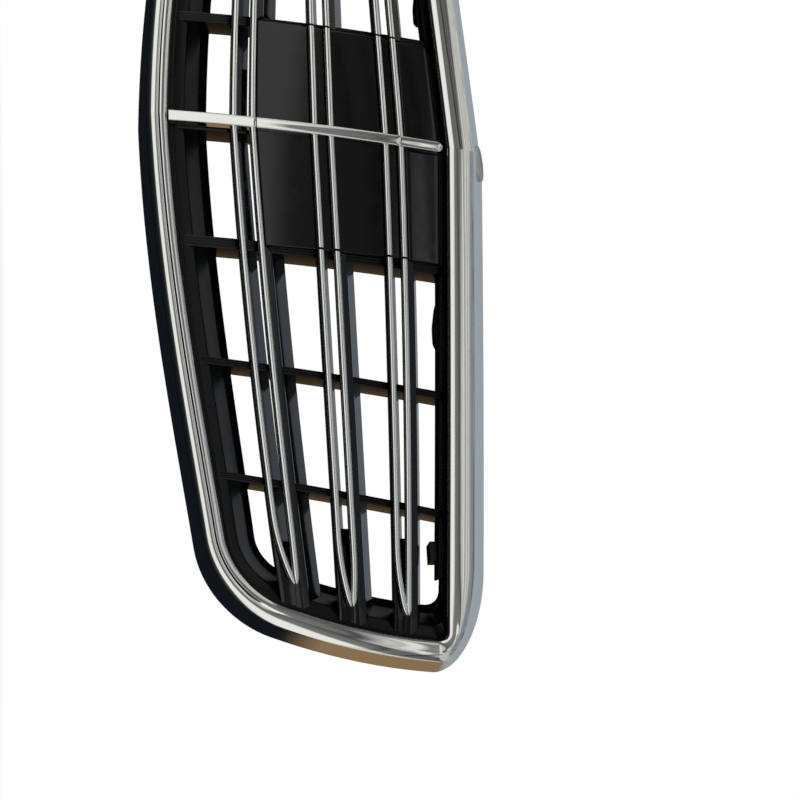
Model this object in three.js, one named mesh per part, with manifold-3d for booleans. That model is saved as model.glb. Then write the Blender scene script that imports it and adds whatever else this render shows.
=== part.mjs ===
// Front grille: a chrome surround round a black bezel, with vertical ribs, three twin
// louvres on each side, and a gloss cover over the middle of the upper two louvres.
// Millimetres. +X is the width, -Y is the front, +Z is up as on the car.
// The origin is the centre of the grille's overall box; each piece is drawn from the
// centre of the surround's opening and the whole is then moved there.
import * as THREE from 'three';
import Module from 'manifold-3d';
import { mergeVertices } from 'three/addons/utils/BufferGeometryUtils.js';

const wasm = await Module();
wasm.setup();

// ---- driving dimensions -------------------------------------------------------------
const OPENING_HEIGHT = 222.6;      // inside the surround, on the centre line
const OPENING_HALF_WIDTH = 385.9;  // inside the surround, near its top
const PROW_SLOPE = 0.072;          // how fast the front falls back from the centre line
const PROW_CURVE = 0.074;
const LEAN_SLOPE = 0.255;          // how far the grille leans back towards its top
const LEAN_CURVE = 0.105;
const SIDE_SLOPE = -0.013;
const SIDE_CURVE = -0.238;         // how far the sides draw in towards the bottom
const LOW_CORNER = 38;             // length of each leg of the lower corner's blend
const HIGH_CORNER = 7;
const FACE_TOP = 22;               // surround: face width above, below and at the sides
const FACE_BOTTOM = 16;
const FACE_SIDE = 15.5;
const FLARE_TOP = 14.7;            // surround: how far its outer wall spreads backwards
const FLARE_BOTTOM = 5;
const FLARE_SIDE = 2;
const CORNER_REACH = 80;           // the upper corners of the outer wall are part of an ellipse
const CORNER_RISE = 45;
const SURROUND_DEPTH = 34;
const LIP_DEPTH = 8;
const LIP_WALL = 2.6;
const WALL = 2.5;
const GAP = 0.4;                   // clearance between pieces that touch
const SHELF_BOTTOM = 31;           // bezel: how far it reaches into the opening
const SHELF_SIDE = 32;
const SHELF_TOP = 2;
const SHELF_EASE = 5;              // how much less the lower shelf reaches in, 300 mm out
const SHELF_DEPTH = 31;
const WEB_FRONT = 14.8;
const TRIM_WIDTH = 5.2;            // louvre trim strips
const TRIM_FRONT = 2.3;
const TRIM_BACK = 5.5;
const BODY_DEPTH = 24;
const BODY_STEP = 9.7;
const LAND = 5.5;                  // upper blade: flat black edge beside its trim strip
const UNDERSIDE_A = 22;            // how deep each blade's underside runs level
const UNDERSIDE_B = 13;
const END_DROP = 3.2;              // how far a louvre's front sinks towards its end
const COVER_HALF = 94;
const COVER_FRONT = 5.9;
const COVER_THICK = 3.4;
const RIB_WIDTH = 5.6;
const FIRST_RIB_WIDTH = 8.5;
const RIB_BACK = 30;
const CENTRE_RIB_WIDTH = 12;
const RIB_SECOND = 189.5;          // the first rib stands behind the cover's edge
const RIB_THIRD = 276.5;
const RIB_FAN = [0.02, 0.075, 0.12];
const CENTRE_TRIM_WIDTH = 9;
const CENTRE_TRIM_FRONT = -1.6;
const CENTRE_TRIM_SKIN = 1.9;
const BADGE_RADIUS = 14.5;
const BADGE_THICK = 2.6;
const BADGE_SINK = 0.9;
const BADGE_DEPTH = 19;
const FLANGE_INSET = 50.9;         // the flange and its tabs stop short of the opening's sides
const FLANGE_THICK = 2.3;
const LUG_PLACE = 141;
const LUG_HALF = 19;               // where the lug leaves the flange
const LUG_HOLE = 4;
const LUG_REACH = 41;
const LUG_HOLE_BACK = 7.5;
const TAB_INSET = 71.9;
const TAB_HALF = 7.5;
const TAB_DROP = 4;
const BRACKET_ABOVE = 29;          // from the cover's lower edge up to the bracket
const BRACKET_BELOW = 10.5;        // from the cover's upper edge down to the bracket
const BRACKET_INSET = 22;
const SCREW_RADIUS = 1.5;
const SCREW_HEAD = 3.8;
const BOSS_RADIUS = 3.8;
const BOSS_OFFSET = 10.5;

// Height of each blade's centre line: at the middle, its slope and its curve. The tip is where
// the trim ends, the web is how far before it the two blades join, and the climb and the rise
// are how far the lower and the upper blade go up from front to back.
const BLADES = {
  lower: {
    a: [-60.9, 0.037, 0.059], b: [-46.4, 0.038, 0.048], tip: [347, -21.5], end: 362, web: 34,
    climb: 12, rise: 19,
  },
  middle: {
    a: [2.3, 0.019, 0.016], b: [15.4, 0.016, 0.013], tip: [362, 21.7], end: 374, web: 60,
    climb: 7, rise: 15,
  },
  upper: {
    a: [59.9, -0.005, -0.001], b: [72.7, -0.007, -0.012], tip: [367, 65.5], end: 378, web: 60,
    climb: 7, rise: 12,
  },
};

// ---- the leaning, creased front surface ---------------------------------------------
const lean = (x, z) => PROW_SLOPE * Math.abs(x) + PROW_CURVE * x * x / 425
  + LEAN_SLOPE * z + LEAN_CURVE * z * z / 200;
const at = (x, d, z) => [x, lean(x, z) + d, z];
const half = OPENING_HEIGHT / 2;
const WIDTH_RATIO = OPENING_HALF_WIDTH / 385.9;
const HEIGHT_RATIO = OPENING_HEIGHT / 222.6;
const flangeHalf = OPENING_HALF_WIDTH - FLANGE_INSET;
const tabPlace = OPENING_HALF_WIDTH - TAB_INSET;
const ribPlaces = [COVER_HALF + 1, RIB_SECOND * WIDTH_RATIO, RIB_THIRD * WIDTH_RATIO];
const u = (x) => Math.abs(x) / WIDTH_RATIO;
const openingBottom = (x) => -half + (0.029 * u(x) + 0.151 * u(x) ** 2 / 425
  - 0.058 * u(x) ** 4 / 425 ** 3) * HEIGHT_RATIO;
const openingTop = (x) => half + (-0.043 * u(x) + 0.004 * u(x) ** 2 / 425) * HEIGHT_RATIO;
const openingSide = (z) => OPENING_HALF_WIDTH + SIDE_SLOPE * (z - half) / HEIGHT_RATIO
  + SIDE_CURVE * ((z - half) / HEIGHT_RATIO) ** 2 / 200;
const bladeZ = (blade, x) => HEIGHT_RATIO
  * (blade[0] + blade[1] * u(x) + blade[2] * u(x) ** 2 / 425);

// ---- geometry helpers ---------------------------------------------------------------
function range(a, b, n) {
  return Array.from({ length: n + 1 }, (_, i) => a + (b - a) * i / n);
}

function orient(positions, index) {
  let volume = 0;
  for (let i = 0; i < index.length; i += 3) {
    const [a, b, c] = [0, 1, 2].map((k) => new THREE.Vector3(...positions[index[i + k]]));
    volume += a.dot(b.cross(c));
  }
  if (volume < 0) {
    for (let i = 0; i < index.length; i += 3) {
      [index[i + 1], index[i + 2]] = [index[i + 2], index[i + 1]];
    }
  }
  const geometry = new THREE.BufferGeometry();
  geometry.setAttribute('position', new THREE.Float32BufferAttribute(positions.flat(), 3));
  geometry.setIndex(index);
  return geometry;
}

// Joins a list of rings of points into one closed skin, closed round or capped at its ends.
function loft(rings, closed, outline) {
  const count = rings[0].length;
  const positions = rings.flat();
  const index = [];
  const spans = closed ? rings.length : rings.length - 1;
  for (let s = 0; s < spans; s += 1) {
    const a = s * count;
    const b = ((s + 1) % rings.length) * count;
    for (let i = 0; i < count; i += 1) {
      const j = (i + 1) % count;
      index.push(a + i, a + j, b + j, a + i, b + j, b + i);
    }
  }
  if (!closed) {
    const flat = outline.map((p) => new THREE.Vector2(p[0], p[1]));
    const last = (rings.length - 1) * count;
    for (const [i, j, k] of THREE.ShapeUtils.triangulateShape(flat, [])) {
      index.push(j, i, k);
      index.push(last + i, last + j, last + k);
    }
  }
  return orient(positions, index);
}

function solid(geometry) {
  const bare = geometry.clone();
  bare.deleteAttribute('normal');
  bare.deleteAttribute('uv');
  const merged = mergeVertices(bare, 1e-4);
  return new wasm.Manifold(new wasm.Mesh({
    numProp: 3,
    vertProperties: new Float32Array(merged.attributes.position.array),
    triVerts: new Uint32Array(merged.index.array),
  }));
}

function skin(body) {
  const mesh = body.getMesh();
  const geometry = new THREE.BufferGeometry();
  const points = new THREE.BufferAttribute(new Float32Array(mesh.vertProperties), 3);
  geometry.setAttribute('position', points);
  geometry.setIndex(new THREE.BufferAttribute(new Uint32Array(mesh.triVerts), 1));
  return geometry;
}

// Keeps the largest connected piece of a trimmed body.
function largest(geometry) {
  const index = geometry.index.array;
  const owner = Array.from({ length: geometry.attributes.position.count }, (_, i) => i);
  const find = (i) => {
    let r = i;
    while (owner[r] !== r) r = owner[r];
    owner[i] = r;
    return r;
  };
  for (let i = 0; i < index.length; i += 3) {
    owner[find(index[i])] = find(index[i + 1]);
    owner[find(index[i + 2])] = find(index[i + 1]);
  }
  const groups = new Map();
  for (let i = 0; i < index.length; i += 3) {
    const key = find(index[i]);
    if (!groups.has(key)) groups.set(key, []);
    groups.get(key).push(index[i], index[i + 1], index[i + 2]);
  }
  const span = (list) => {
    const box = new THREE.Box3();
    const point = new THREE.Vector3();
    for (const i of list) box.expandByPoint(point.fromBufferAttribute(geometry.attributes.position, i));
    return box.getSize(point).length();
  };
  const best = [...groups.values()].sort((a, b) => span(b) - span(a))[0];
  const kept = geometry.clone();
  kept.setIndex(best);
  return mergeVertices(kept.toNonIndexed(), 1e-4);
}

// Moves each side of an outline outwards by a clearance.
function grow(outline, gap) {
  let area = 0;
  outline.forEach(([x, y], i) => {
    const [p, q] = outline[(i + 1) % outline.length];
    area += x * q - p * y;
  });
  const turn = Math.sign(area);
  return outline.map(([x, y], i) => {
    const [px, py] = outline[(i + outline.length - 1) % outline.length];
    const [qx, qy] = outline[(i + 1) % outline.length];
    const a = new THREE.Vector2(x - px, y - py).normalize();
    const b = new THREE.Vector2(qx - x, qy - y).normalize();
    const m = new THREE.Vector2(a.y + b.y, -a.x - b.x).multiplyScalar(turn).normalize();
    const reach = gap / Math.max(0.5, m.x * a.y * turn - m.y * a.x * turn);
    return [x + m.x * reach, y + m.y * reach];
  });
}

// A bar that runs across the width: its outline is [height above the line, depth].
function crossBar(places, line, outline, shape = () => 1) {
  const rings = places.map((x) => outline.map(([w, d]) => at(x, d, line(x) + w * shape(x))));
  return loft(rings, false, outline);
}

// A bar that runs up the grille: its outline is [sideways, depth].
function uprightBar(heights, line, outline) {
  const rings = heights.map((z) => outline.map(([w, d]) => at(line(z) + w, d, z)));
  return loft(rings, false, outline);
}

// Lays a geometry whose y is a depth onto the front surface.
function lay(geometry) {
  const p = geometry.attributes.position;
  for (let i = 0; i < p.count; i += 1) {
    p.setY(i, p.getY(i) + lean(p.getX(i), p.getZ(i)));
  }
  return geometry;
}

// A round pin along the depth at x, z, with its ends parallel to the front surface.
function pin(x, z, radius, from, to, sides = 10) {
  const geometry = new THREE.CylinderGeometry(radius, radius, to - from, sides);
  geometry.translate(x, (from + to) / 2, z);
  return lay(geometry);
}

// ---- the two contours: the surround's inner edge, and the bezel's inner edge --------
function contour(bottom, side, top, lowLeg, highLeg) {
  const meet = (edge, guess) => {
    let z = guess;
    for (let i = 0; i < 60; i += 1) z = edge(side(z));
    return [side(z), z];
  };
  const low = meet(bottom, -half * 0.6);
  const high = meet(top, half * 0.85);
  const curve = (p, q, corner, n) => range(0, 1, n).map((t) => {
    const s = 1 - t;
    return [0, 1].map((k) => s ** 3 * p[k] + 3 * s * s * t * (p[k] + 0.6 * (corner[k] - p[k]))
      + 3 * s * t * t * (q[k] + 0.6 * (corner[k] - q[k])) + t ** 3 * q[k]);
  });
  const lowStart = low[0] - lowLeg * 0.94;
  const lowEnd = low[1] + lowLeg * 0.95;
  const highStart = high[1] - highLeg;
  const highEnd = high[0] - highLeg;
  const points = [
    ...range(0, lowStart, 7).map((x) => [x, bottom(x)]),
    ...curve([lowStart, bottom(lowStart)], [side(lowEnd), lowEnd], low, 6).slice(1),
    ...range(lowEnd, highStart, 4).map((z) => [side(z), z]).slice(1),
    ...curve([side(highStart), highStart], [highEnd, top(highEnd)], high, 5).slice(1),
    ...range(highEnd, highEnd - 60, 3).map((x) => [x, top(x)]).slice(1),
    ...range(highEnd - 60, 0, 6).map((x) => [x, top(x)]).slice(1),
  ];
  const mirrored = points.slice(1, -1).reverse().map(([x, z]) => [-x, z]);
  return [...points, ...mirrored];
}

function normals(points) {
  return points.map((p, i) => {
    const a = points[(i + points.length - 1) % points.length];
    const b = points[(i + 1) % points.length];
    return new THREE.Vector2(b[1] - a[1], a[0] - b[0]).normalize();
  });
}

const edge = contour(openingBottom, openingSide, openingTop, LOW_CORNER, HIGH_CORNER);
const edgeNormals = normals(edge);
const mouth = contour(
  (x) => openingBottom(x) + SHELF_BOTTOM - SHELF_EASE * (u(x) / 300) ** 2,
  (z) => openingSide(z) - SHELF_SIDE,
  (x) => openingTop(x) - SHELF_TOP,
  20,
  13,
);

// An outline point is [share of the way to the mouth, outward distance, depth].
function round(profile) {
  const rings = edge.map(([x, z], i) => {
    const n = edgeNormals[i];
    return profile(n, x, z).map(([share, out, d]) => at(
      x + (mouth[i][0] - x) * share + n.x * out,
      d,
      z + (mouth[i][1] - z) * share + n.y * out,
    ));
  });
  return loft(rings, true);
}

const blend = (n, side, top, bottom) => side * n.x * n.x + (n.y > 0 ? top : bottom) * n.y * n.y;
const plainFace = (n) => blend(n, FACE_SIDE, FACE_TOP, FACE_BOTTOM);
const plainFlare = (n) => blend(n, FLARE_SIDE, FLARE_TOP, FLARE_BOTTOM);

// The share of its plain width the surround has at a point, so that its upper corners are round.
function cornerShare(n, x, z) {
  const total = plainFace(n) + plainFlare(n);
  const across = Math.abs(n.x);
  const px = Math.abs(x) - (OPENING_HALF_WIDTH + FACE_SIDE + FLARE_SIDE - CORNER_REACH);
  const pz = z - (openingTop(OPENING_HALF_WIDTH) + FACE_TOP + FLARE_TOP - CORNER_RISE);
  if (n.y < 0 || px + across * total <= 0 || pz + n.y * total <= 0) return 1;
  const a = (across / CORNER_REACH) ** 2 + (n.y / CORNER_RISE) ** 2;
  const b = 2 * (px * across / CORNER_REACH ** 2 + pz * n.y / CORNER_RISE ** 2);
  const c = (px / CORNER_REACH) ** 2 + (pz / CORNER_RISE) ** 2 - 1;
  return Math.min(1, (-b + Math.sqrt(Math.max(0, b * b - 4 * a * c))) / (2 * a) / total);
}

const faceWidth = (n, x, z) => plainFace(n) * cornerShare(n, x, z);
const flare = (n, x, z) => plainFlare(n) * cornerShare(n, x, z);

function surroundProfile(n, x, z) {
  const w = faceWidth(n, x, z);
  const f = flare(n, x, z);
  const groove = n.y < -0.2 ? Math.min(1, (-0.2 - n.y) / 0.5) : 0;
  return [
    [0, LIP_DEPTH], [0, 1.4], [1, 0], [3.4, -1], [6, -1.1],
    [6.8, -1.3 + 1.6 * groove], [7.6, -1.5], [w * 0.72, -2.3], [w - 2, -1.2], [w, 1.2],
    [w + 0.16 * f, 6], [w + 0.55 * f, 18], [w + f, SURROUND_DEPTH],
    [w + f - WALL, SURROUND_DEPTH], [w - WALL + 0.4 + 0.16 * f, 6], [w - 3.4, 2],
    [7, 2.2], [LIP_WALL, 3.6], [LIP_WALL, LIP_DEPTH],
  ].map(([out, d]) => [0, out, d]);
}

// The bezel's front surface, from the surround's lip down into the openings.
const SHELF_LINE = [
  [0, -1, LIP_DEPTH + GAP], [0.17, 0, 9.4], [0.42, 0, 12], [0.77, 0, 26], [1, 0, 29],
];

function bezelProfile(n, x, z) {
  const web = faceWidth(n, x, z) - WALL + GAP / 2;
  const back = WEB_FRONT + WALL;
  return [
    [0, web, WEB_FRONT], [0, 1.2, WEB_FRONT], [0, 1.2, LIP_DEPTH + GAP],
    ...SHELF_LINE,
    [1, 0, SHELF_DEPTH + 1.5], [1, 3, SHELF_DEPTH + 1.5], [0.42, 3, back], [0, web, back],
  ];
}

// Everything behind the bezel's front surface, with the clearance: trims what meets it.
function behindBezel() {
  return solid(round(() => [
    [0, 20, -20], [0, -1.1, -20], [0, -1 - GAP, LIP_DEPTH],
    ...SHELF_LINE.slice(1).map(([share, out, d]) => [share, out - GAP, d - GAP]),
    [1, -GAP, 60], [0, 20, 60],
  ]));
}

// ---- places of the screws that hold the surround to the bezel -----------------------
const count = edge.length;
const SCREW_STATIONS = [2, 6, 15, 26];
const screwSpots = SCREW_STATIONS.flatMap((i) => [i, count - i]).map((i) => ({
  x: edge[i][0] + edgeNormals[i].x * BOSS_OFFSET,
  z: edge[i][1] + edgeNormals[i].y * BOSS_OFFSET,
}));

// ---- pieces -------------------------------------------------------------------------
function chromeSurround() {
  let body = solid(round(surroundProfile));
  for (const { x, z } of screwSpots) {
    body = body.add(solid(pin(x, z, BOSS_RADIUS, 0.8, WEB_FRONT - GAP)));
    body = body.subtract(solid(pin(x, z, SCREW_RADIUS + GAP, 6, WEB_FRONT + 2)));
  }
  return skin(body.subtract(solid(badgeSeat())));
}

// The badge lies on the surround's sloping top wall, on the centre line.
const badgeZ = half + FACE_TOP + FLARE_TOP * (0.16 + 0.39 * (BADGE_DEPTH - 6) / 12);
const wallLow = new THREE.Vector2(lean(0, half + FACE_TOP) + 6, half + FACE_TOP + FLARE_TOP * 0.16);
const wallHigh = new THREE.Vector2(
  lean(0, half + FACE_TOP + FLARE_TOP) + SURROUND_DEPTH,
  half + FACE_TOP + FLARE_TOP,
);
const wallRise = wallHigh.clone().sub(wallLow).angle();

function badgeFrame(geometry) {
  geometry.rotateX(Math.PI / 2 + wallRise);
  geometry.translate(0, lean(0, badgeZ) + BADGE_DEPTH, badgeZ);
  return geometry;
}

function badgeSeat() {
  const seat = new THREE.CylinderGeometry(BADGE_RADIUS + GAP, BADGE_RADIUS + GAP, 20, 28);
  seat.translate(0, 10 - BADGE_SINK - GAP, 0);
  return badgeFrame(seat);
}

function badgeDisc() {
  const r = BADGE_RADIUS;
  const t = BADGE_THICK;
  const profile = [[0, 0], [r, 0], [r, t - 0.8], [r - 0.8, t], [r - 3.4, t - 0.5], [0, t + 0.6]];
  const disc = new THREE.LatheGeometry(profile.map(([x, y]) => new THREE.Vector2(x, y)), 28);
  disc.translate(0, -BADGE_SINK, 0);
  return badgeFrame(disc);
}

function innerBezel() {
  let body = solid(round(bezelProfile));
  for (const { x, z } of screwSpots) {
    body = body.subtract(solid(pin(x, z, SCREW_RADIUS + GAP, WEB_FRONT - 2, WEB_FRONT + 6)));
  }
  return skin(body);
}

function screw({ x, z }) {
  const seat = WEB_FRONT + WALL + GAP;
  const shank = solid(pin(x, z, SCREW_RADIUS, 8, seat + 1, 10));
  const head = solid(pin(x, z, SCREW_HEAD, seat, seat + 2.4, 16));
  const slot = new THREE.BoxGeometry(SCREW_HEAD * 1.2, 2, 0.9);
  slot.translate(x, seat + 2.4, z);
  return skin(shank.add(head).subtract(solid(lay(slot))));
}

const bladeLine = (blade, key, side) => (x) => {
  const [tipX, tipZ] = [blade.tip[0] * WIDTH_RATIO, blade.tip[1] * HEIGHT_RATIO];
  const reach = key === 'a' ? 52 : 40;
  const s = Math.max(0, (Math.abs(x) - tipX + reach) / reach);
  const offset = key === 'a' ? -0.9 : 0.9;
  return bladeZ(blade[key], x) + (tipZ + offset - bladeZ(blade[key], tipX)) * s * s * side;
};

const TRIM_OUTLINE = [
  [-TRIM_WIDTH / 2, TRIM_BACK], [-TRIM_WIDTH / 2, TRIM_FRONT + 1.3], [-TRIM_WIDTH / 5, TRIM_FRONT],
  [TRIM_WIDTH / 5, TRIM_FRONT], [TRIM_WIDTH / 2, TRIM_FRONT + 1.3], [TRIM_WIDTH / 2, TRIM_BACK],
];
const BODY_HALF = TRIM_WIDTH / 2 - 0.3;
const BODY_FRONT = TRIM_BACK + GAP;
const bladeOutline = (rise, underside) => [
  [-BODY_HALF, BODY_FRONT], [BODY_HALF, BODY_FRONT], [BODY_HALF, BODY_STEP],
  [rise, BODY_DEPTH - 2], [rise, BODY_DEPTH], [rise - 3.4, BODY_DEPTH], [-BODY_HALF, underside],
];
const landOutline = (rise) => [
  [0, BODY_FRONT + 0.2], [BODY_HALF + LAND, BODY_FRONT + 1.6], [BODY_HALF + LAND + 0.6, BODY_FRONT + 3.4],
  [rise - 0.3, BODY_DEPTH - 2.2], [rise - 3, BODY_DEPTH - 0.2], [0, BODY_STEP + 2.3],
];

function bladePlaces(blade, from, side) {
  const tip = blade.tip[0] * WIDTH_RATIO;
  const far = range(from, tip - 52, 5);
  const near = range(tip - 52, tip, 4).slice(1);
  return [...far, ...near].map((x) => x * side);
}

// One louvre's twin trim strips on one side, which run together into a pointed tip.
function louvreTrim(name, from, side, gap = 0) {
  const blade = BLADES[name];
  const tip = blade.tip[0] * WIDTH_RATIO;
  const taper = (x) => 1 - 0.62 * Math.max(0, (Math.abs(x) - tip + 16) / 16) ** 2;
  const outline = gap ? grow(TRIM_OUTLINE, gap) : TRIM_OUTLINE;
  const strips = ['a', 'b'].map((key) => solid(crossBar(
    bladePlaces(blade, from - gap, side),
    bladeLine(blade, key, 1),
    outline,
    taper,
  )));
  return strips[0].add(strips[1]);
}

// One louvre's two black blades on one side. They run past the trim to the bezel, where the
// front sinks a little, and a web joins them behind the trim's tip.
function louvreBody(name, from, side, gap = 0) {
  const blade = BLADES[name];
  const tip = blade.tip[0] * WIDTH_RATIO;
  const end = blade.end * WIDTH_RATIO;
  const sink = (x) => END_DROP * Math.max(0, (Math.abs(x) - tip) / (end - tip));
  const bar = (key, start, plain) => {
    const outline = gap ? grow(plain, gap) : plain;
    const places = [...range(start, tip - 52, 5), ...range(tip - 52, tip, 3).slice(1), end + gap];
    const rings = places.map((x) => outline.map(([w, d]) => at(
      x * side,
      d + (d < BODY_STEP + 1 ? sink(x) : 0),
      bladeZ(blade[key], x) + w,
    )));
    return solid(loft(rings, false, outline));
  };
  const landFrom = name === 'lower' ? COVER_HALF + 1.2 : from - gap;
  let body = bar('a', from - gap, bladeOutline(blade.climb, UNDERSIDE_A));
  body = body.add(bar('b', from - gap, bladeOutline(blade.rise, UNDERSIDE_B)));
  body = body.add(bar('b', Math.max(landFrom, from) - gap, landOutline(blade.rise)));

  const corners = [[0, BODY_FRONT + 0.5], [1, BODY_FRONT + 0.5], [1, BODY_DEPTH - 3], [0, BODY_DEPTH - 3]];
  const rings = [...range(tip - blade.web - gap, tip, 2), end - 0.3 + gap].map((x) => {
    const low = bladeZ(blade.a, x) - gap;
    const high = bladeZ(blade.b, x) + gap;
    return corners.map(([t, d]) => at(
      x * side,
      d + (d < BODY_STEP ? sink(x) - gap : gap),
      low + (high - low) * t,
    ));
  });
  return body.add(solid(loft(rings, false, corners)));
}

const SIDES = { right: 1, left: -1 };
const louvreStart = (name) => (name === 'lower' ? GAP / 2 : COVER_HALF + 1.2);

// A straight trim strip that lies on the cover, from edge to edge.
function coverTrim(name, key, gap = 0) {
  const blade = BLADES[name];
  const reach = COVER_HALF - 0.6 + gap;
  const outline = gap ? grow(TRIM_OUTLINE, gap) : TRIM_OUTLINE;
  const places = [...range(-reach, 0, 3), ...range(0, reach, 3).slice(1)];
  return solid(crossBar(places, bladeLine(blade, key, 0), outline));
}

const coverBottom = (x) => bladeZ(BLADES.lower.b, x) + TRIM_WIDTH / 2 + 0.8;
const coverSplit = (x) => bladeZ(BLADES.upper.b, x) + TRIM_WIDTH / 2 + 1.2;
const coverTop = (x) => openingTop(x) - 6;

function plate(low, high, front, thick, reach, rows) {
  const places = [...range(-reach, 0, 4), ...range(0, reach, 4).slice(1)];
  const outline = [
    ...range(0, 1, rows).map((t) => [t, front]),
    ...range(1, 0, rows).map((t) => [t, front + thick]),
  ];
  const rings = places.map((x) => outline.map(([t, d]) => at(x, d, low(x) + (high(x) - low(x)) * t)));
  return loft(rings, false, outline);
}

// The strip up the centre line, in three lengths, with notches over the louvre trim.
function centreTrim(low, high, back, pointed) {
  const w = CENTRE_TRIM_WIDTH / 2;
  const f = CENTRE_TRIM_FRONT;
  const outline = [
    [-w, back], [-w, f + 2.1], [-w * 0.72, f + 0.7], [0, f], [w * 0.72, f + 0.7], [w, f + 2.1], [w, back],
  ];
  const heights = range(low, high, 9);
  const shape = (z) => (pointed ? Math.sqrt(Math.max(0.09, 1 - Math.max(0, (z - high + w) / w) ** 2)) : 1);
  const all = pointed ? [...range(low, high - w, 3), ...range(high - w, high, 4).slice(1)] : heights;
  const rings = all.map((z) => outline.map(([x, d]) => at(x * shape(z), d, z)));
  let body = solid(loft(rings, false, outline));
  for (const [name, key] of [['middle', 'a'], ['middle', 'b'], ['upper', 'a'], ['upper', 'b']]) {
    body = body.subtract(coverTrim(name, key, GAP));
  }
  for (const side of [1, -1]) {
    body = body.subtract(louvreTrim('lower', -1, side, GAP));
    body = body.subtract(louvreBody('lower', -1, side, GAP));
  }
  return largest(skin(body));
}

function flangeSolid(gap = 0) {
  const t = FLANGE_THICK;
  const outline = [[-SHELF_TOP - 0.5, 14], [-SHELF_TOP - 2, 28.6], [-SHELF_TOP - 2 - t, 28.2],
    [-SHELF_TOP - 0.5 - t, 14]];
  const places = [...range(-flangeHalf - gap, 0, 8), ...range(0, flangeHalf + gap, 8).slice(1)];
  return solid(crossBar(places, openingTop, gap ? grow(outline, gap) : outline));
}

const lugBase = (x) => openingTop(x) - SHELF_TOP - 2.4 - FLANGE_THICK;

// A level plate that stands out behind the flange, from an outline in plan.
function levelPlate(x, outline, drop) {
  const shape = new THREE.Shape(outline.map(([w, d]) => new THREE.Vector2(w, d)));
  const geometry = new THREE.ExtrudeGeometry(shape, { depth: FLANGE_THICK + drop, bevelEnabled: false });
  const z = lugBase(x);
  geometry.translate(x, lean(x, z), z - drop);
  return solid(geometry);
}

function mountFlange() {
  let body = flangeSolid();
  const r = LUG_REACH;
  for (const side of [1, -1]) {
    const w = LUG_HALF;
    const lug = [[-w, 21], [w, 21], [w - 2, 27], [9, r - 3], [6, r], [-6, r], [-9, r - 3], [2 - w, 27]];
    const tab = [[-TAB_HALF, 21], [TAB_HALF, 21], [TAB_HALF, 38], [-TAB_HALF, 38]];
    body = body.add(levelPlate(side * LUG_PLACE, lug, 0));
    body = body.add(levelPlate(side * tabPlace, tab, TAB_DROP));
    const z = lugBase(LUG_PLACE);
    const drill = new THREE.CylinderGeometry(LUG_HOLE, LUG_HOLE, 30, 20);
    drill.rotateX(Math.PI / 2);
    drill.translate(side * LUG_PLACE, lean(LUG_PLACE, z) + r - LUG_HOLE_BACK, z);
    body = body.subtract(solid(drill));
  }
  return skin(body);
}

const bezelTool = behindBezel();
const flangeTool = flangeSolid(GAP);
const trimmed = (body) => largest(skin(body.subtract(bezelTool)));

function rib(x0, fan, width, front, low, high, side) {
  const w = width / 2;
  const outline = [
    [-w, front + 0.6], [-w + 0.6, front], [w - 0.6, front], [w, front + 0.6], [w, RIB_BACK], [-w, RIB_BACK],
  ];
  const line = (z) => side * (x0 + fan * z);
  let body = solid(uprightBar(range(low, high, 7), line, outline));
  body = body.subtract(flangeTool);
  for (const name of Object.keys(BLADES)) {
    const from = name === 'lower' ? -1 : louvreStart(name) - 1;
    for (const s of x0 ? [side] : [1, -1]) body = body.subtract(louvreBody(name, from, s, GAP));
  }
  return trimmed(body);
}

// The bracket behind the cover: an open box for the sensor, with two straps to the first ribs.
function sensorBracket() {
  const front = COVER_FRONT + COVER_THICK + 4;
  const back = RIB_BACK + 3;
  const low = coverBottom(0) + BRACKET_ABOVE;
  const high = coverSplit(0) - BRACKET_BELOW;
  const halfWidth = COVER_HALF - BRACKET_INSET;
  const wall = (h, w, d, reach) => {
    const places = [...range(-reach, 0, 3), ...range(0, reach, 3).slice(1)];
    return solid(crossBar(places, () => h, [[-w, d], [w, d], [w, back], [-w, back]]));
  };
  const cheek = (x) => solid(uprightBar(
    range(low - 2, high + 2, 4),
    () => x,
    [[-2, front], [2, front], [2, back], [-2, back]],
  ));
  let body = wall(low, 2, front, halfWidth).add(wall(high, 2, front, halfWidth));
  body = body.add(cheek(-halfWidth)).add(cheek(halfWidth));
  for (const h of [low + 16, high - 16]) {
    body = body.add(wall(h, 5, RIB_BACK + GAP, COVER_HALF + 1));
  }
  return skin(body);
}

// ---- assembly -----------------------------------------------------------------------
const LOOKS = {
  chrome: { color: 0xd9dcde, roughness: 0.06, metalness: 1 },
  gloss: { color: 0x0b0b0c, roughness: 0.12, metalness: 0 },
  satin: { color: 0x17181a, roughness: 0.45, metalness: 0 },
  rear: { color: 0x2a241e, roughness: 0.6, metalness: 0 },
  steel: { color: 0x8d9092, roughness: 0.35, metalness: 1 },
};

const grille = new THREE.Group();

function place(name, geometry, look) {
  const bare = geometry.index ? geometry.toNonIndexed() : geometry;
  bare.deleteAttribute('normal');
  bare.deleteAttribute('uv');
  const clean = mergeVertices(bare, 1e-4);
  clean.computeVertexNormals();
  const mesh = new THREE.Mesh(clean, new THREE.MeshStandardMaterial(LOOKS[look]));
  mesh.name = name;
  grille.add(mesh);
}

place('chrome_surround', chromeSurround(), 'chrome');
place('badge_disc', badgeDisc(), 'chrome');
place('inner_bezel', innerBezel(), 'satin');
place('mount_flange', mountFlange(), 'rear');

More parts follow.
